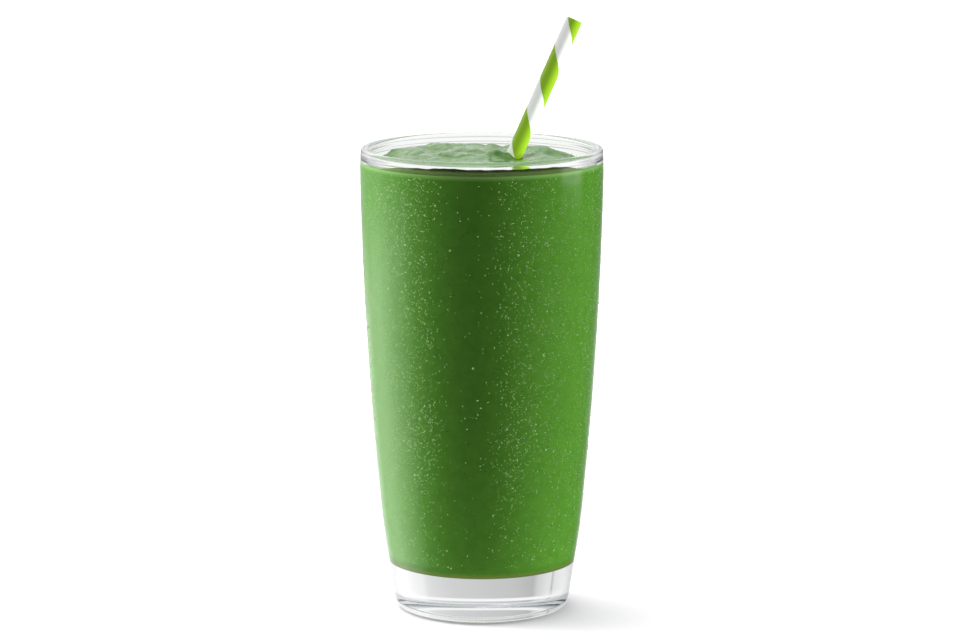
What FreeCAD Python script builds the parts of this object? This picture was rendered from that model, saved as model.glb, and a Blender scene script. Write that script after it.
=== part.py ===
"""A tall tapered tumbler, filled nearly to its rim with a thick green drink, and a paper straw standing in it.

Units are millimetres. +Z is up, the origin is the middle of the foot, and the glass's axis is the Z axis.
The straw leans to +X and a little to +Y. Its lower end rests on the inside of the wall, on the -X side.
"""
import FreeCAD, Part

import math
import os
import re
import sys

import Sketcher

V = FreeCAD.Vector

SIZES = {
    # glass, outside
    "glass_height": 166,
    "foot_radius": 30.8,        # where the side would meet the ground without its rounded heel
    "heel_radius": 4,
    "recess_radius": 23,        # shallow flat hollow under the foot
    "recess_depth": 0.6,
    "shoulder_radius": 34.9,    # end of the straight flare above the foot
    "shoulder_height": 27,
    "shoulder_bend": 300,
    "hip_radius": 36.8,         # start of the long bowed side
    "hip_height": 45,
    "side_bow": 1470,
    "mouth_radius": 43,         # widest place, just below the lip
    "brim_depth": 11,           # from the rim down to the widest place
    "brim_bow": 120,
    "lip_draw": 0.15,           # how far the lip is drawn in
    # glass, inside
    "wall": 2.1,
    "base_thickness": 16.8,
    "bore_corner_radius": 5,
    # drink
    "fill_gap": 4.9,            # from the rim down to where the drink meets the wall
    "mound_height": 2.2,
    "fold_height": 0.45,
    "fold_spacing": 15,
    "fold_curl": 9,             # how far a turn about the curl's centre shifts the folds, per radian
    "curl_distance": 50,        # from the axis to the curl's centre, towards -Y
    "front_calm_start": -6,     # y where the mound begins to rise
    "front_calm_length": 16,    # how far back it takes to reach its full height
    # straw
    "straw_radius": 2.93,
    "straw_wall": 0.45,
    "straw_exit_x": 11.3,       # where its axis leaves the drink's level
    "straw_exit_y": 11,
    "straw_showing": 53.3,      # its length above that level
    "straw_foot_height": 61.5,
    "straw_foot_turn": 180.7,   # direction of its foot from the glass's axis, degrees
    "straw_seat_gap": 0.05,
}

# Lumps of the drink's surface: x, y, radius across, radius along y, share of mound_height.
LUMPS = (
    (-9, 27, 16, 12, 1.00),
    (-23, 18, 7, 11, 0.45),
    (19, 28, 9, 9, 0.50),
    (-6, 7, 10, 5, 0.35),
    (27, 4, 8, 7, 0.25),
    (12, 12, 6, 6, -0.35),
    (33, 20, 9, 12, -0.75),
    (-34, 17, 5, 9, -0.35),
)
SURFACE_STEPS = 28      # squares along each side of the grid that the drink's surface runs through
NEAR = 1e-4             # two lengths this close are the same
HOLLOW_SHARE = 0.8      # a hollowed glass has less than this share of its blank's volume


def bound(expression):
    """The expression with each size name turned into a reference to the sheet."""
    return re.sub(r"[a-z_]+", lambda word: ("Sizes." if word[0] in SIZES else "") + word[0], expression)


def make_sheet(doc):
    sheet = doc.addObject("Spreadsheet::Sheet", "Sizes")
    for row, (name, value) in enumerate(SIZES.items(), start=1):
        sheet.set(f"A{row}", name)
        sheet.set(f"B{row}", str(value))
        sheet.setAlias(f"B{row}", name)
    doc.recompute()
    return sheet


def new_body(doc, name):
    body = doc.addObject("PartDesign::Body", name)
    body.Label = name
    return body


def new_sketch(body, name, plane_role):
    sketch = body.newObject("Sketcher::SketchObject", name)
    plane = next(item for item in body.Origin.OriginFeatures if item.Role == plane_role)
    sketch.AttachmentSupport = [(plane, "")]
    sketch.MapMode = "FlatFace"
    return sketch


def number(holder, expression):
    """What an expression of the sheet's sizes comes to now."""
    return float(holder.evalExpression(bound(expression)))


def dimension(sketch, expression, *constraint):
    """Add a dimension that starts at its right value and then follows the sheet."""
    index = sketch.addConstraint(Sketcher.Constraint(*constraint, number(sketch, expression)))
    sketch.setExpression(f"Constraints[{index}]", bound(expression))


def pin(sketch, geometry, end, across, up):
    """Hold the end of a curve at distances from the origin that the sheet gives."""
    for kind, axis, expression in (("DistanceX", -2, across), ("DistanceY", -1, up)):
        if expression == "0":
            sketch.addConstraint(Sketcher.Constraint("PointOnObject", geometry, end, axis))
        else:
            dimension(sketch, expression, kind, -1, 1, geometry, end)


def arc_between(start, end, radius, turn):
    """The shorter arc from start to end; turn is 1 when it runs anticlockwise and -1 when clockwise."""
    chord = end - start
    to_centre = math.sqrt(radius ** 2 - chord.Length ** 2 / 4)
    left = V(-chord.y, chord.x, 0).normalize()
    centre = (start + end) / 2 + left * (to_centre * turn)
    first, last = (start, end) if turn > 0 else (end, start)
    angles = [math.atan2(point.y - centre.y, point.x - centre.x) for point in (first, last)]
    if angles[1] < angles[0]:
        angles[1] += 2 * math.pi
    return Part.ArcOfCircle(Part.Circle(centre, V(0, 0, 1), radius), *angles)


def draw_outline(sketch, outline):
    """Draw a closed outline. Each row is a corner, across and up, then the curve that leaves it:
    None for a straight line, or a radius and a turn for an arc."""
    values = [[number(sketch, text) for text in row[:2]] for row in outline]
    ends = []
    for index, (_, _, curve) in enumerate(outline):
        start = V(*values[index], 0)
        end = V(*values[(index + 1) % len(outline)], 0)
        if curve is None:
            geometry = sketch.addGeometry(Part.LineSegment(start, end))
            ends.append((geometry, 1, 2))
        else:
            radius_text, turn = curve
            geometry = sketch.addGeometry(arc_between(start, end, number(sketch, radius_text), turn))
            ends.append((geometry, 1, 2) if turn > 0 else (geometry, 2, 1))
    for index, (geometry, first, _) in enumerate(ends):
        before, _, last = ends[index - 1]
        sketch.addConstraint(Sketcher.Constraint("Coincident", before, last, geometry, first))
        pin(sketch, geometry, first, *outline[index][:2])
    for index, (_, _, curve) in enumerate(outline):
        if curve is not None:
            dimension(sketch, curve[0], "Radius", ends[index][0])
    return [geometry for geometry, _, _ in ends]


def side_rows(inset):
    """The side of the glass from the shoulder to the lip, moved towards the axis by inset."""
    return [
        (f"shoulder_radius - {inset}", "shoulder_height", (f"shoulder_bend - {inset}", 1)),
        (f"hip_radius - {inset}", "hip_height", (f"side_bow - {inset}", 1)),
        (f"mouth_radius - {inset}", "glass_height - brim_depth", (f"brim_bow - {inset}", 1)),
    ]


RIM_CREST = ("mouth_radius - lip_draw - wall / 2", "glass_height", None)


def glass_outline():
    """The outside of the glass from under its foot to the crest of its rim, closed along its axis."""
    return [
        ("0", "recess_depth", None),
        ("recess_radius - recess_depth", "recess_depth", ("recess_depth", -1)),
        ("recess_radius", "0", None),
        ("foot_radius", "0", None),
        *side_rows("0"),
        ("mouth_radius - lip_draw", "glass_height - wall / 2", ("wall / 2", 1)),
        RIM_CREST,
        ("0", "glass_height", None),
    ]


def bore_outline():
    """The inside of the glass, closed at the height of the rim."""
    floor_radius = "foot_radius + (shoulder_radius - foot_radius) * base_thickness / shoulder_height - wall"
    return [
        ("0", "base_thickness", None),
        (floor_radius, "base_thickness", None),
        *side_rows("wall"),
        ("mouth_radius - lip_draw - wall", "glass_height - wall / 2", ("wall / 2", -1)),
        RIM_CREST,
        ("0", "glass_height", None),
    ]


SIDE_EDGE = 3       # place of the long bowed side in bore_outline


def mark_straw_seat(sketch, side):
    """Measure the bore's radius at the height of the straw's foot, as a reference that the straw reads."""
    reach = number(sketch, "hip_radius")
    point = sketch.addGeometry(Part.Point(V(reach, number(sketch, "straw_foot_height"), 0)), True)
    dimension(sketch, "straw_foot_height", "DistanceY", -1, 1, point, 1)
    sketch.addConstraint(Sketcher.Constraint("PointOnObject", point, 1, side))
    across = sketch.addConstraint(Sketcher.Constraint("DistanceX", -1, 1, point, 1, reach))
    sketch.setDriving(across, False)
    sketch.renameConstraint(across, "seat_radius")


def turned(body, kind, name, sketch):
    """A Revolution or a Groove of the sketch, all the way round its upright axis."""
    feature = body.newObject(kind, name)
    feature.Profile = sketch
    feature.ReferenceAxis = (sketch, ["V_Axis"])
    feature.Angle = 360
    sketch.Visibility = False
    return feature


def corner_names(feature, height, radius):
    """The round edges of a feature that lie at one height with one radius."""
    names = []
    for index, edge in enumerate(feature.Shape.Edges, start=1):
        if edge.Degenerated or not isinstance(edge.Curve, Part.Circle):
            continue
        if abs(edge.Curve.Radius - radius) < NEAR and abs(edge.Curve.Center.z - height) < NEAR:
            names.append(f"Edge{index}")
    return names


def rounded(body, name, base, height_text, radius_text, fillet_text):
    """Round the corner of the base feature that runs round at this height and radius."""
    body.Document.recompute()
    height = number(base, height_text)
    radius = number(base, radius_text)
    fillet = body.newObject("PartDesign::Fillet", name)
    fillet.Base = (base, corner_names(base, height, radius))
    fillet.setExpression("Radius", bound(fillet_text))
    return fillet


def round_bore_corner(body, base, name):
    across, up, _ = bore_outline()[1]
    return rounded(body, name, base, up, across, "bore_corner_radius")


def make_glass(doc):
    body = new_body(doc, "glass")
    outline = new_sketch(body, "glass_outline", "XZ_Plane")
    draw_outline(outline, glass_outline())
    blank = turned(body, "PartDesign::Revolution", "glass_blank", outline)
    doc.recompute()
    bore = new_sketch(body, "glass_bore", "XZ_Plane")
    edges = draw_outline(bore, bore_outline())
    mark_straw_seat(bore, edges[SIDE_EDGE])
    hollow = turned(body, "PartDesign::Groove", "glass_hollow", bore)
    floor = round_bore_corner(body, hollow, "glass_floor_corner")
    rounded(body, "glass_heel", floor, "0", "foot_radius", "heel_radius")
    doc.recompute()
    if hollow.Shape.Volume > HOLLOW_SHARE * blank.Shape.Volume:
        sys.exit("the bore has not been cut out of the glass")
    return body


def make_straw(doc):
    """A paper tube. Its body is placed by its foot, and turned to run through its exit from the drink."""
    body = new_body(doc, "straw")
    section = new_sketch(body, "straw_section", "XY_Plane")
    for radius_text in ("straw_radius", "straw_radius - straw_wall"):
        circle = Part.Circle(V(0, 0, 0), V(0, 0, 1), number(section, radius_text))
        ring = section.addGeometry(circle)
        section.addConstraint(Sketcher.Constraint("Coincident", ring, 3, -1, 1))
        dimension(section, radius_text, "Radius", ring)
    foot_reach = "(glass_bore.Constraints.seat_radius / 1 mm - straw_radius - straw_seat_gap)"
    foot_x = f"({foot_reach} * cos(straw_foot_turn * 1 deg))"
    foot_y = f"({foot_reach} * sin(straw_foot_turn * 1 deg))"
    run_x = f"(straw_exit_x - {foot_x})"
    run_y = f"(straw_exit_y - {foot_y})"
    run_z = "(glass_height - fill_gap - straw_foot_height)"
    tube = body.newObject("PartDesign::Pad", "straw_tube")
    tube.Profile = section
    tube.setExpression("Length", bound(f"hypot({run_x}; {run_y}; {run_z}) + straw_showing"))
    lean = f"atan2(hypot({run_x}; {run_y}); {run_z})"
    heading = f"atan2({run_y}; {run_x})"
    place = f"placement(vector({foot_x}; {foot_y}; straw_foot_height); rotation({heading}; {lean}; 0))"
    body.setExpression("Placement", bound(place))
    doc.recompute()
    return body


def smooth_step(value):
    value = min(max(value, 0), 1)
    return value * value * (3 - 2 * value)


def surface_height(size, x, y):
    """Height of the drink's surface above its level at the wall: soft lumps, and folds that curl round them."""
    lumps = 0
    for lump_x, lump_y, across, along, share in LUMPS:
        lumps += share * math.exp(-((x - lump_x) / across) ** 2 - ((y - lump_y) / along) ** 2)
    curl = size.fold_curl * math.atan2(y + size.curl_distance, x)
    folds = math.sin(2 * math.pi * (math.hypot(x, y) + curl) / size.fold_spacing)
    rise = smooth_step((y - size.front_calm_start) / size.front_calm_length)
    return rise * (size.mound_height * lumps + size.fold_height * folds)


def make_surface_tool(doc, size):
    """A block whose top is the drink's surface and which reaches below the drink's floor."""
    half_width = size.mouth_radius + size.wall
    step = 2 * half_width / SURFACE_STEPS
    level = size.glass_height - size.fill_gap
    grid = []
    for row in range(SURFACE_STEPS + 1):
        x = -half_width + row * step
        line = []
        for column in range(SURFACE_STEPS + 1):
            y = -half_width + column * step
            line.append(V(x, y, level + surface_height(size, x, y)))
        grid.append(line)
    surface = Part.BSplineSurface()
    surface.interpolate(grid)
    block = doc.addObject("Part::Feature", "drink_block")
    block.Shape = surface.toShape().extrude(V(0, 0, -size.glass_height))
    block.Placement = FreeCAD.Placement()
    return block


def make_drink(doc, size, straw):
    """The bore's own shape up to the lumpy surface, cut round the straw's wall and open to its bore."""
    fill = new_body(doc, "drink_fill")
    outline = new_sketch(fill, "drink_outline", "XZ_Plane")
    draw_outline(outline, bore_outline())
    blank = turned(fill, "PartDesign::Revolution", "drink_blank", outline)
    round_bore_corner(fill, blank, "drink_floor_corner")
    doc.recompute()
    levelled = doc.addObject("Part::Common", "drink_levelled")
    levelled.Base = fill
    levelled.Tool = make_surface_tool(doc, size)
    drink = doc.addObject("Part::Cut", "smoothie")
    drink.Label = "smoothie"
    drink.Base = levelled
    drink.Tool = straw
    doc.recompute()
    return drink


def check_document(doc):
    for item in doc.Objects:
        if "Invalid" in item.State or "Error" in item.State:
            sys.exit(f"{item.Name} failed: {item.State}")


def check_part(part):
    shape = part.Shape
    if shape.isNull() or not shape.isValid():
        sys.exit(f"{part.Label} has no valid shape")
    if len(shape.Solids) != 1:
        sys.exit(f"{part.Label} has {len(shape.Solids)} solids")


def main():
    doc = FreeCAD.newDocument("drink_in_glass")
    size = make_sheet(doc)
    glass = make_glass(doc)
    straw = make_straw(doc)
    drink = make_drink(doc, size, straw)
    check_document(doc)
    parts = (glass, drink, straw)
    for part in parts:
        check_part(part)
    os.makedirs("parts", exist_ok=True)
    for part in parts:
        box = part.Shape.BoundBox
        part.Shape.exportStep(f"parts/{part.Label}.step")
        print(f"{part.Label}: {part.Shape.Volume / 1000:.2f} cm3, z {box.ZMin:.2f} to {box.ZMax:.2f}")


main()
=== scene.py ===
"""Looks for a green smoothie in a tall glass with a paper straw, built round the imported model.

Units are metres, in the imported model's frame: +Z is up and the origin is the middle of the glass's foot.
The straw leans to +X. The camera looks along +Y, a little downwards.
"""

import math
import random

import bpy
import numpy as np
from mathutils import Matrix, Vector, noise


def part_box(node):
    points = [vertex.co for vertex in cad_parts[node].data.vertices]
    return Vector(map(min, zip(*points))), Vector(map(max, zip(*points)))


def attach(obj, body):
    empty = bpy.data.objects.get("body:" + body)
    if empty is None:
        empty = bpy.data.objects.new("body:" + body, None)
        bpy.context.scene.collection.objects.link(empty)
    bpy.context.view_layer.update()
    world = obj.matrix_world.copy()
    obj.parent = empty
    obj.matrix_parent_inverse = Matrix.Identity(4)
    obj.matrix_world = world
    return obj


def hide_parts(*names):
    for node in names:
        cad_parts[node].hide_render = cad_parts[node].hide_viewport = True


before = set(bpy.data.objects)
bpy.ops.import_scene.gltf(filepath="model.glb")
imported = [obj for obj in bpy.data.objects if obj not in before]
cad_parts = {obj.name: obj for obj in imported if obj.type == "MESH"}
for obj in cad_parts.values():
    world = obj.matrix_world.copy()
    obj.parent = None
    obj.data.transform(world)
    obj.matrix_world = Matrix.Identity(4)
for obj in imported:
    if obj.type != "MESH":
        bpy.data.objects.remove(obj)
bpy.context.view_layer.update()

MM = 0.001

# Glass: the same sizes as the model's, so that the smooth lathed glass lies on the CAD one.
GLASS_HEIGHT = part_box("glass")[1].z
BOX_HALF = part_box("glass")[1].y     # no drop stands out further than this
FOOT_RADIUS = 30.8 * MM
HEEL_RADIUS = 4 * MM
RECESS_RADIUS = 23 * MM
RECESS_DEPTH = 0.6 * MM
SHOULDER_RADIUS = 34.9 * MM
SHOULDER_HEIGHT = 27 * MM
SHOULDER_BEND = 300 * MM
HIP_RADIUS = 36.8 * MM
HIP_HEIGHT = 45 * MM
SIDE_BOW = 1470 * MM
MOUTH_RADIUS = 43 * MM
BRIM_DEPTH = 11 * MM
BRIM_BOW = 120 * MM
LIP_DRAW = 0.15 * MM
WALL = 2.1 * MM
BASE_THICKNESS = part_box("smoothie")[0].z
BORE_CORNER_RADIUS = 5 * MM
LIP_ROUND = 1.2 * MM            # radius of the rounded lip
BEAD = 0.35 * MM                # how far the lip's bead stands into the mouth
BEAD_NECK = 2.2 * MM            # height over which the bead runs out into the wall
LIP_JOIN = 0.1 * MM             # how far below the neck the bore's side ends
OUTSIDE_TOP = GLASS_HEIGHT - LIP_ROUND * 1.02   # the outside ends just below the lip's round
FOOT_SHADE = 12 * MM            # below this height the glass holds lamp light back
GLASS_SEGMENTS = 224
# Steps along each part of the outline.
FLOOR_STEPS = 10
RECESS_STEPS = 8
GROUND_STEPS = 3
HEEL_STEPS = 12
FLARE_STEPS = 12
CORNER_STEPS = 14
RISE_STEPS = 4
SHOULDER_STEPS = 14
SIDE_STEPS = 60
BRIM_STEPS = 12
LIP_STEPS = 22
NECK_STEPS = 12
SIDE_TABLE_STEPS = 400

# Drink
FILL_GAP = 4.9 * MM
LEVEL = GLASS_HEIGHT - FILL_GAP
INTO_WALL = 0.15 * MM           # how far the drink reaches into the wall, so that no air shows between them
TOUCH = 1e-6
PLAIN_SIDE_GAP = 3.2 * MM       # from the level down to where the drink's plain side ends
FILM_HEIGHT = 2.3 * MM          # the film that the drink leaves on the glass above its level
FILM_RAGGED = 0.45 * MM         # how far the film's upper edge strays
FILM_WAVE = (4, 1.5)            # fineness and seed of its waves, and of the ripples on them
FILM_RIPPLE = (19, 4.5)
FILM_RIPPLE_SHARE = 0.5
FILM_THICKNESS = 0.06 * MM
FILM_FRONT = -0.85              # sine of the turn up to which the film is full, seen from above
FILM_FADE = 0.4                 # and over how much of the sine it runs out
FRONT_MEETING = 3 * MM          # dips shallower than this don't pull the drink's edge down at the front
MOUND_HEIGHT = 2.2 * MM
FOLD_HEIGHT = 0.45 * MM
FOLD_SPACING = 15 * MM
CURL_POINT = 50 * MM            # the folds turn round a point this far in front of the glass's axis
CURL_DRIFT = 9 * MM             # and drift by this much for each radian
FRONT_CALM_START = -6 * MM      # from here backwards the lumps grow from nothing to full
FRONT_CALM_LENGTH = 16 * MM
# Lumps of the surface in millimetres: x, y, radius across, radius along y, share of MOUND_HEIGHT.
LUMPS = (
    (-9, 27, 16, 12, 1.00),
    (-23, 18, 7, 11, 0.45),
    (19, 28, 9, 9, 0.50),
    (-6, 7, 10, 5, 0.35),
    (27, 4, 8, 7, 0.25),
    (12, 12, 6, 6, -0.35),
    (33, 20, 9, 12, -0.75),
    (-34, 17, 5, 9, -0.35),
)
# Smaller lumps in millimetres: x, y, radius across, radius along y, height.
DOLLOPS = (
    (6.4, 8.3, 4.6, 3.2, 2.7),
    (-9, 9, 7, 4, 0.7),
    (-22, 12, 6, 5, 0.5),
    (35, 12, 7, 18, -1.2),
    (-37, 10, 5, 18, -1.0),
)
# Fine folds: how far they are bent aside, the size of those bends, and their seeds. Then the size and seed of
# each kind of fold, the height of each kind in millimetres, and how far all of them are sunk.
RELIEF_BEND = 5 * MM
RELIEF_BEND_SIZE = 17 * MM
RELIEF_BEND_SEEDS = (3.7, 8.1)
RELIEF_STRETCH = 0.8            # below 1, they are longer along Y
RELIEF_FOLDS = ((19 * MM, 0.3), (8.5 * MM, 5.9), (3.6 * MM, 2.4))
RELIEF_HEIGHTS = (1.1, 0.7, 0.3)
RELIEF_SUNK = 0.75
RELIEF_CALM = 0.35              # share of them that is left at the calm front
CLIMB_HEIGHT = 0.35 * MM        # the drink's rise at the wall, how far out it reaches, and where it ends
CLIMB_REACH = 0.5 * MM
CLIMB_BACK = 12 * MM
COLLAR_HEIGHT = 0.4 * MM        # the drink's rise round the straw
COLLAR_REACH = 0.7 * MM
SETTLED_SHARE = 0.7             # how much of the fine folds the straw smooths away beside it
SETTLED_REACH = 2.5 * MM
DRINK_SEGMENTS = 320
DRINK_TOP_RINGS = 150

# Straw
STRAW_RADIUS = 2.93 * MM
STRAW_WALL = 0.45 * MM
STRAW_INSET = 0.005 * MM        # how far the paper lies inside the CAD tube
STRAW_ROUNDING = 0.08 * MM
STRAW_SEGMENTS = 96
STRAW_RINGS = 330
STRIPE_PITCH = 24.45 * MM
STRIPE_SHARE = 0.538            # green part of each pitch
STRIPE_CENTRE = 22.99 * MM      # from the top end down to the middle of a green stripe, on the side facing -Y
RIBBON_STEP = 0.035 * MM        # how far the paper dips beside the ribbon's seam
RIBBON_FADE = 1.2 * MM

# Condensation. Pieces of drops: name, how many, a drop's corners round and rows up, least and largest radius.
DROPS = (
    ("condensation_mist_1", 10900, 5, 2, 0.11 * MM, 0.19 * MM),
    ("condensation_mist_2", 10900, 5, 2, 0.11 * MM, 0.21 * MM),
    ("condensation_small", 2200, 10, 3, 0.19 * MM, 0.30 * MM),
    ("condensation_drops", 130, 14, 5, 0.30 * MM, 0.45 * MM),
)
DROP_SEED = 7
DROPS_LOW = BASE_THICKNESS + 4 * MM
DROPS_HIGH = LEVEL - 1 * MM
DROP_BIAS = 1.6                 # above 1, small drops are the more common
DROP_SUNK = 0.04                # share of its radius that a drop stands in the glass
DROP_TALL = (0.95, 1.25)
DROP_PROUD = (0.5, 0.75)
PATCH_TURN = 2.2                # patches of drops: fineness round the glass, height, mean and swing
PATCH_HEIGHT = 28 * MM
PATCH_MEAN = 0.65
PATCH_SWING = 0.7
FEW_AT_FOOT = 0.35              # share of the drops that is left low down, and where it starts to grow
FEW_START = 20 * MM
FEW_LENGTH = 50 * MM
WIPED_MIDDLE = -7               # degrees from -Y towards +X: the middle of a strip with hardly any drops
WIPED_HALF = 9
WIPED_EDGE = 16
WIPED_SHARE = 0.08

# Camera
CAMERA_PLACE = (-0.67 * MM, -1350 * MM, 343.3 * MM)
CAMERA_PITCH = math.radians(10.054)     # downwards
CAMERA_LENS = 144.4
CAMERA_SENSOR = 36


# ---------------------------------------------------------------- outlines

def arc_points(start, end, radius, turn, steps):
    """Points along the shorter arc, its last one left out; turn is 1 for anticlockwise, -1 for clockwise."""
    start, end = np.array(start), np.array(end)
    chord = end - start
    length = np.linalg.norm(chord)
    left = np.array((-chord[1], chord[0])) / length
    centre = (start + end) / 2 + left * turn * math.sqrt(radius ** 2 - length ** 2 / 4)
    sweep = 2 * math.asin(length / 2 / radius) * turn
    first = math.atan2(*(start - centre)[::-1])
    angles = first + sweep * np.arange(steps) / steps
    return [tuple(centre + radius * np.array((math.cos(a), math.sin(a)))) for a in angles]


def line_points(start, end, steps):
    """Points along a straight line, its last one left out."""
    start, end = np.array(start), np.array(end)
    return [tuple(start + (end - start) * step / steps) for step in range(steps)]


def corner_points(before, corner, after, radius, turn, steps):
    """The round that takes the place of a corner: its arc and its last point."""
    before, corner, after = (np.array(point) for point in (before, corner, after))
    towards = (before - corner) / np.linalg.norm(before - corner)
    onwards = (after - corner) / np.linalg.norm(after - corner)
    cut = radius / math.tan(math.acos(float(towards @ onwards)) / 2)
    first, last = tuple(corner + towards * cut), tuple(corner + onwards * cut)
    return arc_points(first, last, radius, turn, steps) + [last]


def side_points(inset, top):
    """The side of the glass upwards from the shoulder, moved towards the axis by inset and cut off at top."""
    shoulder = (SHOULDER_RADIUS - inset, SHOULDER_HEIGHT)
    hip = (HIP_RADIUS - inset, HIP_HEIGHT)
    brim = (MOUTH_RADIUS - inset, GLASS_HEIGHT - BRIM_DEPTH)
    lip = (MOUTH_RADIUS - LIP_DRAW - inset, GLASS_HEIGHT - WALL / 2)
    points = arc_points(shoulder, hip, SHOULDER_BEND - inset, 1, SHOULDER_STEPS)
    points += arc_points(hip, brim, SIDE_BOW - inset, 1, SIDE_STEPS)
    points += arc_points(brim, lip, BRIM_BOW - inset, 1, BRIM_STEPS) + [lip]
    return [point for point in points if point[1] < top]


def side_radius(height, inset=0.0):
    """Radius of the glass's side at a height, moved towards the axis by inset."""
    flare = (SHOULDER_RADIUS - FOOT_RADIUS) / SHOULDER_HEIGHT
    if height < SHOULDER_HEIGHT:
        return FOOT_RADIUS + flare * height - inset
    points = side_points(inset, GLASS_HEIGHT)
    return float(np.interp(height, [p[1] for p in points], [p[0] for p in points]))


HEIGHTS = np.linspace(0, GLASS_HEIGHT - WALL, SIDE_TABLE_STEPS)
RADII = np.array([side_radius(height) for height in HEIGHTS])


def side_radius_fast(height):
    """The outside's radius at a height, read off a table, for the thousands of drops."""
    return float(np.interp(height, HEIGHTS, RADII))


def bore_floor(inset):
    """The bore's floor and lower corner from the axis outwards, as far as the shoulder."""
    edge = (side_radius(BASE_THICKNESS, inset), BASE_THICKNESS)
    shoulder = (SHOULDER_RADIUS - inset, SHOULDER_HEIGHT)
    corner = corner_points((0, BASE_THICKNESS), edge, shoulder, BORE_CORNER_RADIUS, 1, CORNER_STEPS)
    floor = line_points((0, BASE_THICKNESS), corner[0], FLOOR_STEPS)
    return floor + corner[:-1] + line_points(corner[-1], shoulder, RISE_STEPS)


# ---------------------------------------------------------------- meshes

def new_object(name, vertices, faces):
    mesh = bpy.data.meshes.new(name)
    mesh.from_pydata([tuple(v) for v in vertices], [], [tuple(f) for f in faces])
    mesh.polygons.foreach_set("use_smooth", [True] * len(mesh.polygons))
    mesh.update()
    piece = bpy.data.objects.new(name, mesh)
    bpy.context.scene.collection.objects.link(piece)
    return piece


def turns_round(segments):
    return [2 * math.pi * k / segments for k in range(segments)]


def circle(radius, height, segments):
    return [(radius * math.cos(a), radius * math.sin(a), height) for a in turns_round(segments)]


def band(low, high, around):
    """Faces between two rings of points, given the number of each ring's first point."""
    pairs = [(k, (k + 1) % around) for k in range(around)]
    return [(low + k, low + turn, high + turn, high + k) for k, turn in pairs]


def rings_to_object(name, rings, first_pole, last_pole):
    """A closed skin over rings of points, from one pole to the other. Its faces point outwards when the rings
    run anticlockwise and the outside runs upwards."""
    count, around = len(rings), len(rings[0])
    vertices = [first_pole, *(tuple(p) for ring in rings for p in ring), last_pole]
    last = len(vertices) - 1
    top = 1 + (count - 1) * around
    faces = [(0, 1 + (k + 1) % around, 1 + k) for k in range(around)]
    for ring in range(count - 1):
        faces += band(1 + ring * around, 1 + (ring + 1) * around, around)
    faces += [(top + k, top + (k + 1) % around, last) for k in range(around)]
    return new_object(name, vertices, faces)


def lathe(name, profile, segments):
    """A surface of revolution about Z. The profile runs outwards along the underside, up and back in."""
    rings = [circle(radius, height, segments) for radius, height in profile[1:-1]]
    return rings_to_object(name, rings, (0, 0, profile[0][1]), (0, 0, profile[-1][1]))


def finish_piece(piece, materials, nodes=()):
    for material in materials:
        piece.data.materials.append(material)
    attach(piece, "root")
    if nodes:
        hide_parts(*nodes)
    return piece


# ---------------------------------------------------------------- shaders

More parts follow.
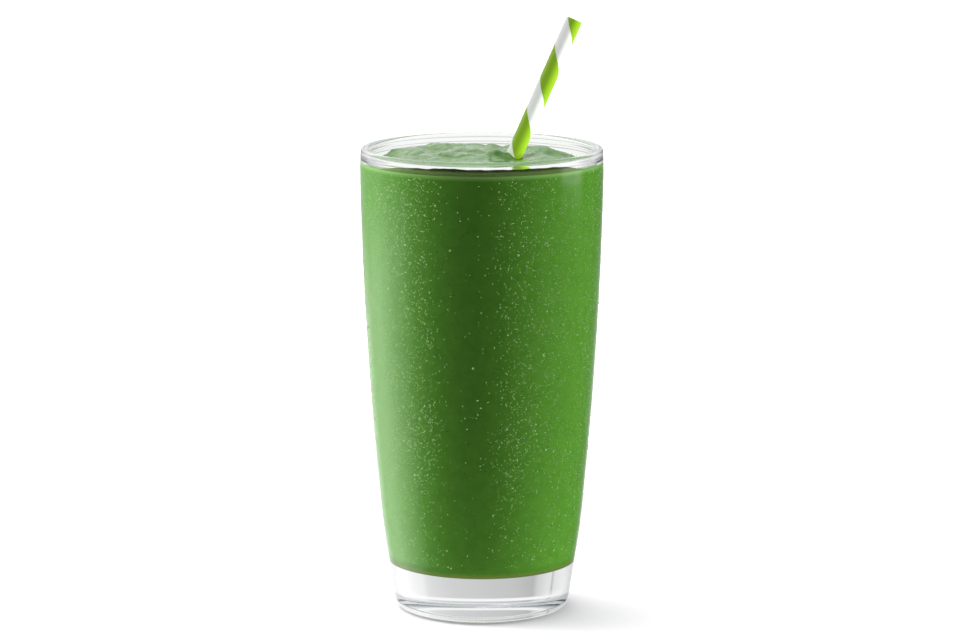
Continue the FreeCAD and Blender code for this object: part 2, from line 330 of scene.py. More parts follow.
class Shader:
    """The node tree of a material or of the world, with short ways to add nodes and join them."""

    def __init__(self, owner, output):
        owner.use_nodes = True
        self.owner = owner
        self.tree = owner.node_tree
        self.tree.nodes.clear()
        self.output = self.tree.nodes.new(output)

    def put(self, socket, value):
        """Set an input to a number or a colour, or join another node's output to it."""
        if isinstance(value, bpy.types.NodeSocket):
            self.tree.links.new(value, socket)
        else:
            socket.default_value = value

    def node(self, kind, inputs=None, **settings):
        node = self.tree.nodes.new(kind)
        for key, value in settings.items():
            setattr(node, key, value)
        for key, value in (inputs or {}).items():
            self.put(node.inputs[key], value)
        return node

    def math(self, operation, *values):
        return self.node("ShaderNodeMath", dict(enumerate(values)), operation=operation).outputs[0]

    def blend(self, share, first, second):
        """Mix two colours."""
        return self.node("ShaderNodeMix", {0: share, 6: first, 7: second}, data_type="RGBA").outputs[2]

    def between(self, share, first, second):
        """Mix two numbers."""
        return self.node("ShaderNodeMix", {0: share, 2: first, 3: second}, data_type="FLOAT").outputs[0]

    def mix(self, share, first, second):
        """Mix two shaders."""
        inputs = {0: share, 1: first.outputs[0], 2: second.outputs[0]}
        return self.node("ShaderNodeMixShader", inputs).outputs[0]

    def ramp(self, value, low, high):
        """0 below low, 1 above high, smooth between."""
        inputs = {"Value": value, "From Min": low, "From Max": high}
        return self.node("ShaderNodeMapRange", inputs, interpolation_type="SMOOTHSTEP").outputs[0]

    def noise(self, place, scale, detail=2.0, roughness=0.5):
        inputs = {"Vector": place, "Scale": scale, "Detail": detail, "Roughness": roughness}
        return self.node("ShaderNodeTexNoise", inputs).outputs[0]

    def patches(self, place, scale, detail, roughness, low, high, strength):
        """Soft patches, from 0 up to strength: noise cut off below low and full above high."""
        cut = self.ramp(self.noise(place, scale, detail, roughness), low, high)
        return self.math("MULTIPLY", cut, strength)

    def cells(self, place, scale):
        return self.node("ShaderNodeTexVoronoi", {"Vector": place, "Scale": scale}).outputs["Distance"]

    def bump(self, height, distance, strength):
        inputs = {"Height": height, "Distance": distance, "Strength": strength}
        return self.node("ShaderNodeBump", inputs).outputs[0]

    def stops(self, value, table):
        """A number read off a table of places and heights."""
        first, last = table[0][0], table[-1][0]
        share = self.node("ShaderNodeMapRange", {"Value": value, "From Min": first, "From Max": last})
        ramp = self.node("ShaderNodeValToRGB", {0: share.outputs[0]})
        points = ramp.color_ramp.elements
        points[0].position, points[1].position = 0, 1
        while len(points) < len(table):
            points.new(0.5)
        for point, (place, height) in zip(points, table):
            point.position = (place - first) / (last - first)
            point.color = (height, height, height, 1)
        return ramp.outputs[0]

    def place(self):
        return self.node("ShaderNodeTexCoord").outputs["Object"]

    def up(self, place):
        return self.node("ShaderNodeSeparateXYZ", {0: place}).outputs[2]

    def principled(self, **inputs):
        """The Principled shader. An underscore in an input's name stands for a space."""
        named = {key.replace("_", " "): value for key, value in inputs.items()}
        return self.node("ShaderNodeBsdfPrincipled", named)

    def lit_through(self, seen, passed):
        """One shader for what is seen, and another that lamps and scattered light pass through."""
        path = self.node("ShaderNodeLightPath").outputs
        straight = self.math("MAXIMUM", path["Is Shadow Ray"], path["Is Diffuse Ray"])
        return self.mix(straight, seen, passed)

    def done(self, shader):
        self.tree.links.new(shader, self.output.inputs["Surface"])
        return self.owner


def new_shader(name):
    return Shader(bpy.data.materials.new(name), "ShaderNodeOutputMaterial")


# ---------------------------------------------------------------- materials of glass and water

GLASS_TINT = (0.985, 0.995, 0.99, 1)
GLASS_RIPPLE = 40               # waves in a metre
GLASS_RIPPLE_DEPTH = 0.02 * MM
GLASS_RIPPLE_STRENGTH = 0.4
FOOT_PASSES = (0.20, 0.20, 0.20, 1)
WALL_PASSES = (0.97, 0.985, 0.98, 1)
# Pale greens painted on the drops, in place of the drink seen through the clear water.
DROP_PAINTED_GREENS = ((0.50, 0.92, 0.28, 1), (0.80, 1.0, 0.58, 1))
DROP_TINT_SCALE = 700
DROP_PASSES = (0.96, 0.96, 0.96, 1)


def glass_material():
    """Clear, faintly uneven glass. Lamps and scattered light go straight through it to what is inside, but
    the heavy foot, which would bend them away, holds most of them back."""
    shader = new_shader("clear_glass")
    place = shader.place()
    ripple = shader.bump(shader.noise(place, GLASS_RIPPLE, 1), GLASS_RIPPLE_DEPTH, GLASS_RIPPLE_STRENGTH)
    glass = shader.principled(Base_Color=GLASS_TINT, Roughness=0.0, IOR=1.5, Transmission_Weight=1.0,
                              Normal=ripple)
    passed = shader.blend(shader.ramp(shader.up(place), 0, FOOT_SHADE), FOOT_PASSES, WALL_PASSES)
    through = shader.node("ShaderNodeBsdfTransparent", {"Color": passed})
    return shader.done(shader.lit_through(glass, through))


def drop_material():
    """Fine water drops: a painted pale green, in place of the drink seen through them, under a wet gleam."""
    shader = new_shader("water_drops")
    painted_green = shader.blend(shader.noise(shader.place(), DROP_TINT_SCALE, 1), *DROP_PAINTED_GREENS)
    water = shader.principled(Base_Color=painted_green, Roughness=0.08, IOR=1.33, Transmission_Weight=0.4,
                              Coat_Weight=0.75, Coat_Roughness=0.15, Coat_IOR=1.6)
    through = shader.node("ShaderNodeBsdfTransparent", {"Color": DROP_PASSES})
    return shader.done(shader.lit_through(water, through))


# ---------------------------------------------------------------- materials of the drink

DRINK_COLOUR = (0.150, 0.440, 0.045, 1)
DRINK_DEEP = (0.085, 0.300, 0.022, 1)
DRINK_PALE = (0.230, 0.520, 0.090, 1)
# The paler green at the drink's edge by the wall is painted light, for light that comes in through the thin
# edge.
DRINK_EDGE_PAINTED_LIGHT = (0.300, 0.620, 0.150, 1)
DRINK_FOOT = (0.420, 0.560, 0.120, 1)
# A darker copy of the drink's green for its surface on top: painted shade.
DRINK_SHADED_SURFACE = (0.072, 0.160, 0.046, 1)
DRINK_FROTH = (0.140, 0.300, 0.030, 1)
# The pale grey that reflected rays see of the drink's side: a painted reflection that glows.
DRINK_PAINTED_REFLECTION = (0.600, 0.620, 0.650, 1)
FILM_TOP = (0.035, 0.075, 0.008, 1)
FILM_FOOT = (0.130, 0.240, 0.050, 1)
FILM_PALE = (0.300, 0.400, 0.120, 1)
FLECK_COLOUR = (0.030, 0.110, 0.010, 1)
# Patches: noise scale in a metre, detail, roughness, cut off below, full above, strength.
MOTTLE = (260, 3, 0.5, 0.38, 0.66, 0.25)
PALE_SPOTS = (900, 2, 0.5, 0.56, 0.75, 0.35)
FROTH = (170, 5, 0.7, 0.46, 0.74, 0.6)
FLECKS = 420                    # flecks in a metre, and the reach of each where it fades out and is full
FLECK_REACH = (0.11, 0.06)
FLECKED = (300, 1)              # noise scale in a metre and detail of the places with flecks, and their cut
FLECKED_CUT = (0.52, 0.60)
EDGE_START = 1.9 * MM           # below the level, the drink's edge at the wall is painted paler, as light that comes in there, from here to here
EDGE_FULL = 0.1 * MM
EDGE_PAINTED_GLOW = 0.09                # painted glow: emission in place of light that comes up through the drink's thin edge at the wall
PALE_FOOT = 2.6 * MM            # above the glass's base, the drink grows paler below this height
PALE_FOOT_SHARE = 0.8
STREAKS = (420, 3, 0.6)         # noise scale in a metre, detail, roughness
STREAK_SHARE = 0.35
STREAK_RISE = 0.5               # how much the streaks add to the height at which the film grows clear
FILM_CLEARS = (0.75, 1.3)
SURFACE_SHADE_SHARE = 0.88            # how much of the surface's colour is the darker green of painted shade
GRAIN = 900                     # the surface's own fine grain, in a metre
GRAIN_DEPTH = 0.05 * MM
GRAIN_STRENGTH = 0.5


def drink_colour(shader, place):
    """Blended greens: soft mottling, and fine dark flecks of leaf."""
    colour = shader.blend(shader.patches(place, *MOTTLE), DRINK_COLOUR, DRINK_DEEP)
    colour = shader.blend(shader.patches(place, *PALE_SPOTS), colour, DRINK_PALE)
    flecks = shader.ramp(shader.cells(place, FLECKS), *FLECK_REACH)
    flecked = shader.ramp(shader.noise(place, *FLECKED), *FLECKED_CUT)
    return shader.blend(shader.math("MULTIPLY", flecks, flecked), colour, FLECK_COLOUR)


def drink_wall_material():
    """The drink where it wets the glass: no gloss of its own. Painted light makes it paler where light comes
    in at its edges, with a painted glow at the top edge. Reflected rays see a plain pale grey glow instead: a
    painted reflection, which the polished base mirrors."""
    shader = new_shader("smoothie_at_wall")
    place = shader.place()
    height = shader.up(place)
    edge = shader.ramp(height, LEVEL - EDGE_START, LEVEL - EDGE_FULL)
    foot = shader.ramp(height, BASE_THICKNESS + PALE_FOOT, BASE_THICKNESS)
    colour = shader.blend(edge, drink_colour(shader, place), DRINK_EDGE_PAINTED_LIGHT)
    colour = shader.blend(shader.math("MULTIPLY", foot, PALE_FOOT_SHARE), colour, DRINK_FOOT)
    glow = shader.math("MULTIPLY", edge, EDGE_PAINTED_GLOW)
    surface = shader.principled(Base_Color=colour, Roughness=0.6, Specular_IOR_Level=0.0,
                                Emission_Color=DRINK_EDGE_PAINTED_LIGHT, Emission_Strength=glow)
    # Painted reflection: reflected rays see a pale grey glow here, not the drink.
    pale = shader.node("ShaderNodeEmission", {"Color": DRINK_PAINTED_REFLECTION})
    mirrored = shader.node("ShaderNodeLightPath").outputs["Is Reflection Ray"]
    return shader.done(shader.mix(mirrored, surface, pale))


def drink_film_material():
    """The thin streaky film above the level: brown-green, darkest and clearest towards its upper edge."""
    shader = new_shader("smoothie_film")
    place = shader.place()
    streaks = shader.noise(place, *STREAKS)
    rise = shader.ramp(shader.up(place), LEVEL, LEVEL + FILM_HEIGHT)
    clearing = shader.math("ADD", rise, shader.math("MULTIPLY", streaks, STREAK_RISE))
    colour = shader.blend(rise, FILM_FOOT, FILM_TOP)
    colour = shader.blend(shader.math("MULTIPLY", streaks, STREAK_SHARE), colour, FILM_PALE)
    film = shader.principled(Base_Color=colour, Roughness=0.4, IOR=1.36)
    through = shader.node("ShaderNodeBsdfTransparent")
    return shader.done(shader.mix(shader.ramp(clearing, *FILM_CLEARS), film, through))


def drink_top_material():
    """The drink's wet, folded surface: its green darkened by painted shade, mirroring the studio, with paler
    froth in patches.
    """
    shader = new_shader("smoothie_surface")
    place = shader.place()
    colour = shader.blend(SURFACE_SHADE_SHARE, drink_colour(shader, place), DRINK_SHADED_SURFACE)
    colour = shader.blend(shader.patches(place, *FROTH), colour, DRINK_FROTH)
    grain = shader.bump(shader.noise(place, GRAIN), GRAIN_DEPTH, GRAIN_STRENGTH)
    surface = shader.principled(
        Base_Color=colour, Roughness=0.16, IOR=1.39, Subsurface_Weight=0.3, Subsurface_Radius=(0.5, 1.0, 0.2),
        Subsurface_Scale=1.2 * MM, Normal=grain)
    return shader.done(surface.outputs[0])


# ---------------------------------------------------------------- material of the straw

# Each colour runs between two shades along the paper's fibres.
PAPER_WHITES = ((0.86, 0.87, 0.86, 1), (0.80, 0.81, 0.79, 1))
PAPER_GREENS = ((0.258, 0.440, 0.018, 1), (0.215, 0.405, 0.014, 1))
PAPER_PAINTED_GLOW = 0.50               # painted glow: share of its own colour that the paper gives off, for light that thin paper passes on from behind
PAPER_FIBRES = 2200             # in a metre
FIBRE_DEPTH = 0.03 * MM
FIBRE_STRENGTH = 0.5
STRIPE_WAVES = 1500             # waves of the printed edge in a metre, and their size as a share of a pitch
STRIPE_RAGGED = 0.006
STRIPE_SOFT = 0.003


def straw_material():
    """White paper with a green ribbon wound round it. The piece's own Z is the straw's axis, from its top
    end."""
    shader = new_shader("striped_paper")
    place = shader.place()
    across, along, down = shader.node("ShaderNodeSeparateXYZ", {0: place}).outputs
    turn = shader.math("DIVIDE", shader.math("ARCTAN2", along, across), 2 * math.pi)
    pitches = shader.math("DIVIDE", shader.math("ADD", down, STRIPE_CENTRE), STRIPE_PITCH)
    uneven = shader.math("SUBTRACT", shader.noise(place, STRIPE_WAVES), 0.5)
    phase = shader.math("ADD", pitches, turn)
    phase = shader.math("ADD", phase, shader.math("MULTIPLY", uneven, STRIPE_RAGGED))
    off = shader.math("ABSOLUTE", shader.math("SUBTRACT", phase, shader.math("ROUND", phase)))
    green = shader.ramp(off, STRIPE_SHARE / 2 + STRIPE_SOFT, STRIPE_SHARE / 2 - STRIPE_SOFT)
    fibre = shader.noise(place, PAPER_FIBRES, 3)
    colour = shader.blend(green, shader.blend(fibre, *PAPER_WHITES), shader.blend(fibre, *PAPER_GREENS))
    grain = shader.bump(fibre, FIBRE_DEPTH, FIBRE_STRENGTH)
    # The emission is a painted glow: the paper is no lamp.
    surface = shader.principled(Base_Color=colour, Roughness=0.42, IOR=1.45, Emission_Color=colour,
                                Emission_Strength=PAPER_PAINTED_GLOW, Normal=grain)
    return shader.done(surface.outputs[0])


# ---------------------------------------------------------------- glass

def lip_points():
    """The rounded lip from the outside over the crest, and its bead's neck down the inside to the wall."""
    outside = MOUTH_RADIUS - LIP_DRAW
    middle = outside - LIP_ROUND
    height = GLASS_HEIGHT - LIP_ROUND
    points = []
    for step in range(LIP_STEPS + 1):
        turn = math.pi * step / LIP_STEPS
        reach = LIP_ROUND if turn < math.pi / 2 else LIP_ROUND + BEAD
        points.append((middle + reach * math.cos(turn), height + LIP_ROUND * math.sin(turn)))
    wall = outside - WALL
    bead = wall - points[-1][0]
    for step in range(1, NECK_STEPS + 1):
        share = step / NECK_STEPS
        points.append((wall - bead * (1 + math.cos(math.pi * share)) / 2, height - BEAD_NECK * share))
    return points


def underside_points():
    """The shallow hollow under the foot from the axis outwards, the ring it stands on, and the heel."""
    ground = (RECESS_RADIUS, 0.0)
    shoulder = (SHOULDER_RADIUS, SHOULDER_HEIGHT)
    heel = corner_points(ground, (FOOT_RADIUS, 0.0), shoulder, HEEL_RADIUS, 1, HEEL_STEPS)
    step_in = RECESS_RADIUS - RECESS_DEPTH
    hollow = line_points((0, RECESS_DEPTH), (step_in, RECESS_DEPTH), RECESS_STEPS)
    hollow += [(step_in + RECESS_DEPTH * math.sin(turn), RECESS_DEPTH * math.cos(turn))
               for turn in np.linspace(0, math.pi / 2, RECESS_STEPS)[:-1]]
    ring = line_points(ground, heel[0], GROUND_STEPS)
    return hollow + ring + heel[:-1] + line_points(heel[-1], shoulder, FLARE_STEPS)


def make_glass():
    outside = side_points(0, OUTSIDE_TOP)
    lip = lip_points()
    inside = bore_floor(WALL) + side_points(WALL, lip[-1][1] - LIP_JOIN)
    piece = lathe("glass_body", underside_points() + outside + lip + inside[::-1], GLASS_SEGMENTS)
    finish_piece(piece, [glass_material()], ["glass"])


# ---------------------------------------------------------------- drink

def smooth_step(value):
    value = min(max(value, 0.0), 1.0)
    return value * value * (3 - 2 * value)


def at_least(low, share):
    """A share from 0 to 1, squeezed so that it starts at low."""
    return low + (1 - low) * share


def ring_noise(turn, size, seed):
    """Noise that closes on itself round the glass."""
    return noise.noise(Vector((size * math.cos(turn), size * math.sin(turn), seed)))


def from_lump(x, y, lump):
    """Squared distance from a lump's middle, where 1 is its own radius."""
    lump_x, lump_y, across, along, _ = lump
    return ((x / MM - lump_x) / across) ** 2 + ((y / MM - lump_y) / along) ** 2


def surface_height(x, y):
    """Height of the model's own surface above LEVEL: soft lumps, and folds that curl round them."""
    lumps = sum(lump[4] * math.exp(-from_lump(x, y, lump)) for lump in LUMPS)
    curl = math.atan2(y + CURL_POINT, x)
    folds = math.sin(2 * math.pi * (math.hypot(x, y) + CURL_DRIFT * curl) / FOLD_SPACING)
    rise = smooth_step((y - FRONT_CALM_START) / FRONT_CALM_LENGTH)
    return rise * (MOUND_HEIGHT * lumps + FOLD_HEIGHT * folds)


def dollops(x, y):
    """Small lumps that lie on the larger ones."""
    return sum(lump[4] * MM * math.exp(-from_lump(x, y, lump) ** 2) for lump in DOLLOPS)


def billow(x, y, size, seed):
    """Rounded folds with sharp creases between them: 0 in a crease, and about 1 on a fold."""
    place = Vector((x / size, y * RELIEF_STRETCH / size, seed))
    return abs(noise.noise(place, noise_basis="PERLIN_NEW")) * 2


def fine_relief(x, y):
    """The thick drink's own folds, finer than the model's lumps."""
    bend_x, bend_y = (RELIEF_BEND * noise.noise(Vector((x / RELIEF_BEND_SIZE, y / RELIEF_BEND_SIZE, seed)))
                      for seed in RELIEF_BEND_SEEDS)
    bends = ((bend_x, bend_y), (-bend_y, bend_x), (bend_y, -bend_x))
    rise = sum(height * billow(x + aside, y + back, *fold)
               for height, (aside, back), fold in zip(RELIEF_HEIGHTS, bends, RELIEF_FOLDS))
    calm = at_least(RELIEF_CALM, smooth_step((y - FRONT_CALM_START) / FRONT_CALM_LENGTH))
    return calm * MM * (rise - RELIEF_SUNK)


def straw_line():
    """The straw's axis: its foot and its top end, the middles of the CAD tube's two ends."""
    points = np.array([vertex.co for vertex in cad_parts["straw"].data.vertices])
    points = np.unique(points.round(6), axis=0)
    middle = (points[:, 2].min() + points[:, 2].max()) / 2
    low, high = points[points[:, 2] < middle], points[points[:, 2] > middle]
    return Vector(low.mean(0)), Vector(high.mean(0))


DRINK_RADIUS = side_radius(LEVEL, WALL - INTO_WALL)


def drink_height(x, y, passing):
    """Height of the drink's surface. The straw's axis passes through the level at passing."""
    from_wall = DRINK_RADIUS - math.hypot(x, y)
    climb = CLIMB_HEIGHT * math.exp(-from_wall / CLIMB_REACH) * (1 - smooth_step(y / CLIMB_BACK))
    from_straw = max(math.hypot(x - passing.x, y - passing.y) - STRAW_RADIUS, 0)
    collar = COLLAR_HEIGHT * math.exp(-from_straw / COLLAR_REACH)
    settle = 1 - SETTLED_SHARE * math.exp(-(from_straw / SETTLED_REACH) ** 2)
    relief = fine_relief(x, y) * settle
    return LEVEL + surface_height(x, y) + relief + dollops(x, y) + climb + collar


def wetted_ring(radius, film, passing):
    """Where the drink meets the glass, or the ragged upper edge of its film, which is high at the front."""
    ring = []
    for turn in turns_round(DRINK_SEGMENTS):
        x, y = radius * math.cos(turn), radius * math.sin(turn)
        wave = ring_noise(turn, *FILM_WAVE) + FILM_RIPPLE_SHARE * ring_noise(turn, *FILM_RIPPLE)
        front = 1 - smooth_step((math.sin(turn) - FILM_FRONT) / FILM_FADE)
        rise = front * (FILM_HEIGHT + FILM_RAGGED * wave) + FILM_THICKNESS
        meeting = min(LEVEL, drink_height(x, y, passing) + FRONT_MEETING * front)
        ring.append((x, y, meeting + rise * film))
    return ring


def top_ring(radius, passing):
    return [(x, y, drink_height(x, y, passing)) for x, y, _ in circle(radius, 0, DRINK_SEGMENTS)]


def make_drink(straw_foot, straw_top):
    """The drink: its skin against the wall, the film it leaves above, and its folded surface."""
    axis = (straw_top - straw_foot).normalized()
    passing = straw_foot + axis * ((LEVEL - straw_foot.z) / axis.z)
    bottom = bore_floor(WALL - INTO_WALL) + side_points(WALL - INTO_WALL, LEVEL - PLAIN_SIDE_GAP)
    bottom = [(r, z - (INTO_WALL if z < BASE_THICKNESS + TOUCH else 0)) for r, z in bottom]
    rings = [circle(r, z, DRINK_SEGMENTS) for r, z in bottom[1:]]
    film_face = DRINK_SEGMENTS * (len(rings) + 1)
    rings.append(wetted_ring(DRINK_RADIUS, 0, passing))
    rings.append(wetted_ring(DRINK_RADIUS, 1, passing))
    rings.append(wetted_ring(DRINK_RADIUS - INTO_WALL - FILM_THICKNESS, 1, passing))
    top_face = DRINK_SEGMENTS * len(rings)
    edge = DRINK_RADIUS - INTO_WALL - 2 * FILM_THICKNESS
    rings += [top_ring(edge * (1 - step / DRINK_TOP_RINGS), passing) for step in range(DRINK_TOP_RINGS)]
    poles = (0, 0, bottom[0][1]), (0, 0, drink_height(0, 0, passing))
    piece = rings_to_object("smoothie_body", rings, *poles)
    materials = [drink_wall_material(), drink_film_material(), drink_top_material()]
    finish_piece(piece, materials, ["smoothie"])
    slots = [0 if k < film_face else 1 if k < top_face else 2 for k in range(len(piece.data.polygons))]
    piece.data.polygons.foreach_set("material_index", slots)


# ---------------------------------------------------------------- straw

def wound_ring(z):
    """The straw's outside at one place along it, a little lower beside the ribbon's seam."""
    ring = []
    for angle in turns_round(STRAW_SEGMENTS):
        phase = (z + STRIPE_CENTRE) / STRIPE_PITCH + angle / (2 * math.pi) - STRIPE_SHARE / 2
        from_seam = (phase % 1.0) * STRIPE_PITCH
        radius = STRAW_RADIUS - STRAW_INSET - RIBBON_STEP * math.exp(-from_seam / RIBBON_FADE)
        ring.append((radius * math.cos(angle), radius * math.sin(angle), z))
    return ring


def straw_rings(length):
    """Rings from the foot's inner edge up the outside and over the rounded top end to the inside."""
    inner_radius = STRAW_RADIUS - STRAW_WALL
    outside = [wound_ring(-length + length * step / STRAW_RINGS) for step in range(1, STRAW_RINGS)]
    top_end = ((STRAW_RADIUS - 2 * STRAW_INSET, -STRAW_ROUNDING), (STRAW_RADIUS - STRAW_ROUNDING, 0),
               (inner_radius + STRAW_ROUNDING, 0), (inner_radius, -STRAW_ROUNDING))
    rounded = [circle(radius, z, STRAW_SEGMENTS) for radius, z in top_end]
    return [circle(inner_radius, -length, STRAW_SEGMENTS), *outside, *rounded]


def make_straw(foot, top):
    """A thin paper tube with the step of its wound ribbon. Its own Z is the axis, and its own X is level and
    faces -Y."""
    axis = (top - foot).normalized()
    facing = axis.cross(Vector((0, 0, 1))).normalized()
    rings = straw_rings((top - foot).length)
    starts = [ring * STRAW_SEGMENTS for ring in range(len(rings))]
    faces = []
    for low, high in zip(starts, starts[1:] + starts[:1]):
        faces += band(low, high, STRAW_SEGMENTS)
    piece = new_object("straw_tube", [point for ring in rings for point in ring], faces)
    turned = Matrix((facing, axis.cross(facing), axis)).transposed().to_4x4()
    piece.matrix_world = Matrix.Translation(top) @ turned
    return finish_piece(piece, [straw_material()], ["straw"])


# ---------------------------------------------------------------- condensation

def drop_template(around, rows):
    """A low dome of unit radius on a flat underside, as rows of points from its rim to its top."""
    points, faces = [], []
    for row in range(rows):
        tilt = math.pi / 2 * row / rows
        for k in range(around):
            a = 2 * math.pi * (k + 0.5 * (row % 2)) / around
            points.append((math.cos(a) * math.cos(tilt), math.sin(a) * math.cos(tilt), math.sin(tilt)))
    points.append((0, 0, 1))
    for row in range(rows - 1):
        low, high = row * around, (row + 1) * around
        for k in range(around):
            turn = (k + 1) % around
            faces.append((low + k, low + turn, high + turn))
            faces.append((low + k, high + turn, high + k))
    last = (rows - 1) * around
    for k in range(around):
        faces.append((last + k, last + (k + 1) % around, rows * around))
    faces.append(tuple(reversed(range(around))))
    return np.array(points), faces


def drop_chance(angle, height):
    """How likely a drop is to be at a place: patchy, less low down, and hardly at all in the wiped strip."""
    patch = ring_noise(angle, PATCH_TURN, height / PATCH_HEIGHT)
    thin = at_least(FEW_AT_FOOT, smooth_step((height - FEW_START) / FEW_LENGTH))
    from_front = math.degrees(math.remainder(angle + math.pi / 2, 2 * math.pi))
    from_wiped = abs(from_front - WIPED_MIDDLE)
    wiped = at_least(WIPED_SHARE, smooth_step((from_wiped - WIPED_HALF) / WIPED_EDGE))
    return thin * wiped * (PATCH_MEAN + PATCH_SWING * patch)


def drop_points(points, angle, height, size, draw):
    """One drop's points on the outside of the glass, and inside the CAD model's box."""
    radius = side_radius_fast(height)
    slope = (side_radius_fast(height + MM) - side_radius_fast(height - MM)) / (2 * MM)
    outward = Vector((math.cos(angle), math.sin(angle), -slope)).normalized()
    round_it = Vector((-math.sin(angle), math.cos(angle), 0))
    up = outward.cross(round_it)
    on_glass = Vector((radius * math.cos(angle), radius * math.sin(angle), height))
    centre = on_glass - outward * DROP_SUNK * size
    tall = draw.uniform(*DROP_TALL)
    room = BOX_HALF / max(abs(math.cos(angle)), abs(math.sin(angle))) - radius
    proud = min(size * draw.uniform(*DROP_PROUD), room)
    turned = np.array((round_it * size, up * size * tall, outward * proud))
    return (points @ turned + np.array(centre)).tolist()


def scatter_drops(name, count, template, least, largest, draw, material):
    """One joined piece of drops on the outside of the glass."""
    points, faces = template
    vertices, all_faces = [], []
    placed = 0
    while placed < count:
        angle = draw.uniform(0, 2 * math.pi)
        height = draw.uniform(DROPS_LOW, DROPS_HIGH)
        if draw.random() > drop_chance(angle, height):
            continue
        size = least * (largest / least) ** (draw.random() ** DROP_BIAS)
        base = len(vertices)
        vertices.extend(drop_points(points, angle, height, size, draw))
        all_faces.extend(tuple(base + i for i in face) for face in faces)
        placed += 1
    finish_piece(new_object(name, vertices, all_faces), [material])


def make_condensation():
    water = drop_material()
    draw = random.Random(DROP_SEED)
    for name, count, around, rows, least, largest in DROPS:
        scatter_drops(name, count, drop_template(around, rows), least, largest, draw, water)


# ---------------------------------------------------------------- stage

FLOOR_HALF = 6.0
FLOOR_COLOUR = (0.92, 0.915, 0.915, 1)
FLOOR_GLOW = 0.15
NEAR_GLOW = 0.9                 # what the floor gives back to the glass's foot, and how far out it reaches
NEAR_REACH = 0.09


def floor_material():
    """White where it is seen. To scattered light it is a glow that fades away from the glass's foot."""
    shader = new_shader("pale_floor")
    surface = shader.principled(Base_Color=FLOOR_COLOUR, Roughness=1.0, Specular_IOR_Level=0.0,
                                Emission_Color=(1, 1, 1, 1), Emission_Strength=FLOOR_GLOW)
    away = shader.node("ShaderNodeVectorMath", {0: shader.place()}, operation="LENGTH").outputs["Value"]
    near = shader.math("EXPONENT", shader.math("MULTIPLY", away, -1 / NEAR_REACH))
    glow = shader.node("ShaderNodeEmission", {"Strength": shader.math("MULTIPLY", near, NEAR_GLOW)})
    scattered = shader.node("ShaderNodeLightPath").outputs["Is Diffuse Ray"]
    material = shader.done(shader.mix(scattered, surface, glow))
    material.cycles.emission_sampling = "NONE"
    return material


def make_floor():
    corners = [(across * FLOOR_HALF, along * FLOOR_HALF, 0)
               for across, along in ((-1, -1), (1, -1), (1, 1), (-1, 1))]
    piece = new_object("floor", corners, [(0, 1, 2, 3)])
    piece.data.materials.append(floor_material())
    piece.visible_glossy = False
    piece.visible_transmission = False


# ---------------------------------------------------------------- world

# Radiance of the studio round the horizon, by azimuth in degrees: 0 is the camera's side, and 90 is +X.
MIRRORED_STUDIO = ((-180, 1.15), (-140, 1.10), (-128, 1.60), (-118, 2.00), (-104, 1.95), (-86, 1.30),
                   (-70, 0.35), (-50, 0.08), (0, 0.04), (110, 0.03), (140, 0.06), (155, 0.28), (168, 0.80),
                   (180, 1.15))
# It is dimmest at heights of direction between these, and full below and above them.
MIRRORED_DIM = 0.45
MIRRORED_BELOW = (-0.15, -0.21)
MIRRORED_ABOVE = (-0.02, 0.06)
CEILING = 0.8
CEILING_RISE = (0.25, 0.8)
# A further box on the right: its radiance, the azimuths of its two soft sides, and its soft foot.
RIGHT_BOX = 1.5
RIGHT_BOX_SIDES = ((76, 86), (114, 102))
RIGHT_BOX_FOOT = (-0.19, -0.13)
# Radiance of the backdrop as the thick clear base shows it, by azimuth from straight behind: -X is positive.
BACKDROP_LOW = ((-90, 0.86), (-29, 0.86), (-26, 0.76), (-12, 0.66), (0, 0.62), (14, 0.57), (24, 0.49),
                (27, 0.66), (34, 0.80), (37, 0.78), (38.5, 0.35), (40, 0.72), (60, 0.82), (90, 0.84))
# Heights of direction at which that is seen, straight through and by way of the foot: none, full, full, none.
BASE_BAND = (-0.121, -0.113, -0.06, 0.0)
FOOT_BAND = (0.12, 0.16, 0.34, 0.40)
# Scattered light: its strength from the camera's side and from behind, and between which directions along Y.
AMBIENT_FRONT = 0.26
AMBIENT_BACK = 0.55
AMBIENT_SPAN = (-0.2, 0.9)


def degrees_round(shader, aside, ahead):
    """Direction round the horizon in degrees: 0 is ahead, and 90 is aside."""
    return shader.math("MULTIPLY", shader.math("ARCTAN2", aside, ahead), 180 / math.pi)


def mirrored_light(shader, across, along, up):
    """What polished surfaces mirror: bright behind and left, dim in front, a box on the right, a ceiling."""
    azimuth = degrees_round(shader, across, shader.math("MULTIPLY", along, -1.0))
    below = shader.math("MULTIPLY", 1 - MIRRORED_DIM, shader.ramp(up, *MIRRORED_BELOW))
    share = shader.math("MAXIMUM", shader.math("ADD", MIRRORED_DIM, below), shader.ramp(up, *MIRRORED_ABOVE))
    light = shader.math("MULTIPLY", shader.stops(azimuth, MIRRORED_STUDIO), share)
    light = shader.math("ADD", light, shader.math("MULTIPLY", CEILING, shader.ramp(up, *CEILING_RISE)))
    box = shader.math("MULTIPLY", *(shader.ramp(azimuth, *side) for side in RIGHT_BOX_SIDES))
    box = shader.math("MULTIPLY", box, shader.ramp(up, *RIGHT_BOX_FOOT))
    return shader.math("ADD", light, shader.math("MULTIPLY", box, RIGHT_BOX))


def light_through(shader, across, along, up):
    """What is seen through the glass: white, and the backdrop in the two bands that the base shows."""
    behind = degrees_round(shader, shader.math("MULTIPLY", across, -1.0), along)
    low = shader.stops(behind, BACKDROP_LOW)
    bands = [shader.math("MULTIPLY", shader.ramp(up, start, full), shader.ramp(up, end, fade))
             for start, full, fade, end in (BASE_BAND, FOOT_BAND)]
    darker = shader.math("MULTIPLY", shader.math("ADD", *bands), shader.math("SUBTRACT", low, 1.0))
    return shader.math("ADD", 1.0, darker)


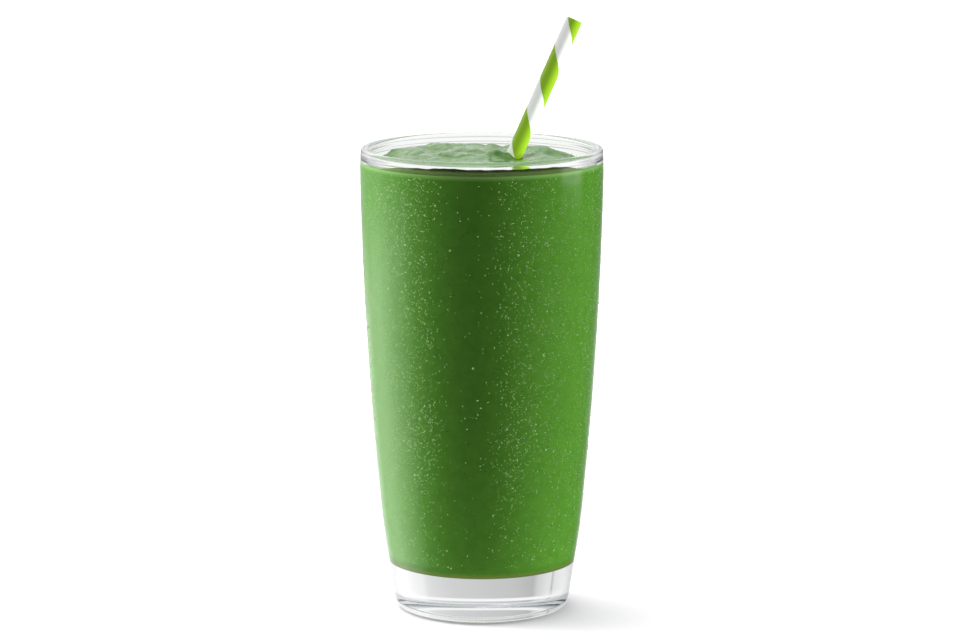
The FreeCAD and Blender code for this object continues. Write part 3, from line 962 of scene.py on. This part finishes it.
def make_world():
    """The studio: plain white where it is looked at, and its own light for each other kind of ray."""
    world = bpy.data.worlds.new("studio")
    bpy.context.scene.world = world
    shader = Shader(world, "ShaderNodeOutputWorld")
    toward = shader.node("ShaderNodeTexCoord").outputs["Generated"]
    across, along, up = shader.node("ShaderNodeSeparateXYZ", {0: toward}).outputs
    strength = shader.node("ShaderNodeMapRange", {
        "Value": along, "From Min": AMBIENT_SPAN[0], "From Max": AMBIENT_SPAN[1],
        "To Min": AMBIENT_FRONT, "To Max": AMBIENT_BACK}).outputs[0]
    path = shader.node("ShaderNodeLightPath").outputs
    strength = shader.between(path["Is Glossy Ray"], strength, mirrored_light(shader, across, along, up))
    strength = shader.between(path["Is Transmission Ray"], strength, light_through(shader, across, along, up))
    strength = shader.between(path["Is Camera Ray"], strength, 1.0)
    light = shader.node("ShaderNodeBackground", {"Color": (1, 1, 1, 1), "Strength": strength})
    shader.done(light.outputs[0])


# ---------------------------------------------------------------- lights and camera

# Panels: name, azimuth in degrees (0 is the camera's side, and 90 is +X), distance, foot, top, width, watts.
PANEL_LEFT = ("panel_left", -107, 2.0, -1.1, 1.5, 1.1, 82)
PANEL_RIGHT = ("panel_right", 92, 2.0, -1.1, 1.5, 0.9, 60)
STRAW_PANEL = ("straw_panel", 84, 1.0, 0.0, 0.4, 0.4, 12)
SKY_STRENGTH = 2.6
SKY_SPREAD = math.radians(50)
SKY_TURN = math.radians(-120)
SKY_RISE = math.radians(68)


def add_light(name, kind):
    light = bpy.data.objects.new(name, bpy.data.lights.new(name, kind))
    light.visible_glossy = False
    bpy.context.scene.collection.objects.link(light)
    return light


def make_softbox(name, azimuth, distance, low, high, width, power):
    """An upright panel that faces the glass."""
    light = add_light(name, "AREA")
    light.data.shape = "RECTANGLE"
    light.data.size = width
    light.data.size_y = high - low
    light.data.energy = power
    turn = math.radians(azimuth)
    light.location = (distance * math.sin(turn), -distance * math.cos(turn), (low + high) / 2)
    aim = Vector((0, 0, light.location.z)) - light.location
    light.rotation_euler = aim.to_track_quat("-Z", "Y").to_euler()
    light.visible_camera = False
    light.visible_transmission = False
    return light


def make_sky():
    """A broad soft light from above, behind and to the left."""
    light = add_light("sky_panel", "SUN")
    light.data.energy = SKY_STRENGTH
    light.data.angle = SKY_SPREAD
    light.rotation_euler = (math.pi / 2 - SKY_RISE, 0, SKY_TURN)
    return light


def link_light(light, piece, state):
    """INCLUDE: the lamp lights this piece alone. EXCLUDE: it lights all the others, as if a flag shaded
    this one."""
    group = bpy.data.collections.new(light.name + "_link")
    group.objects.link(piece)
    light.light_linking.receiver_collection = group
    group.collection_objects[0].light_linking.link_state = state


def make_lights(straw):
    """Two tall panels beside the glass, a sky, and a small panel for the straw, which is flagged off from the
    lights on its left."""
    panel_left = make_softbox(*PANEL_LEFT)
    make_softbox(*PANEL_RIGHT)
    straw_panel = make_softbox(*STRAW_PANEL)
    link_light(panel_left, straw, "EXCLUDE")
    link_light(straw_panel, straw, "INCLUDE")
    link_light(make_sky(), straw, "EXCLUDE")


def make_camera():
    data = bpy.data.cameras.new("camera")
    data.lens = CAMERA_LENS
    data.sensor_width = CAMERA_SENSOR
    camera = bpy.data.objects.new("camera", data)
    camera.location = CAMERA_PLACE
    camera.rotation_euler = (math.pi / 2 - CAMERA_PITCH, 0, 0)
    bpy.context.scene.collection.objects.link(camera)
    bpy.context.scene.camera = camera


make_camera()
make_world()
make_floor()
make_glass()
foot, top = straw_line()
make_drink(foot, top)
straw = make_straw(foot, top)
make_condensation()
make_lights(straw)
bpy.context.scene.view_settings.view_transform = "Standard"
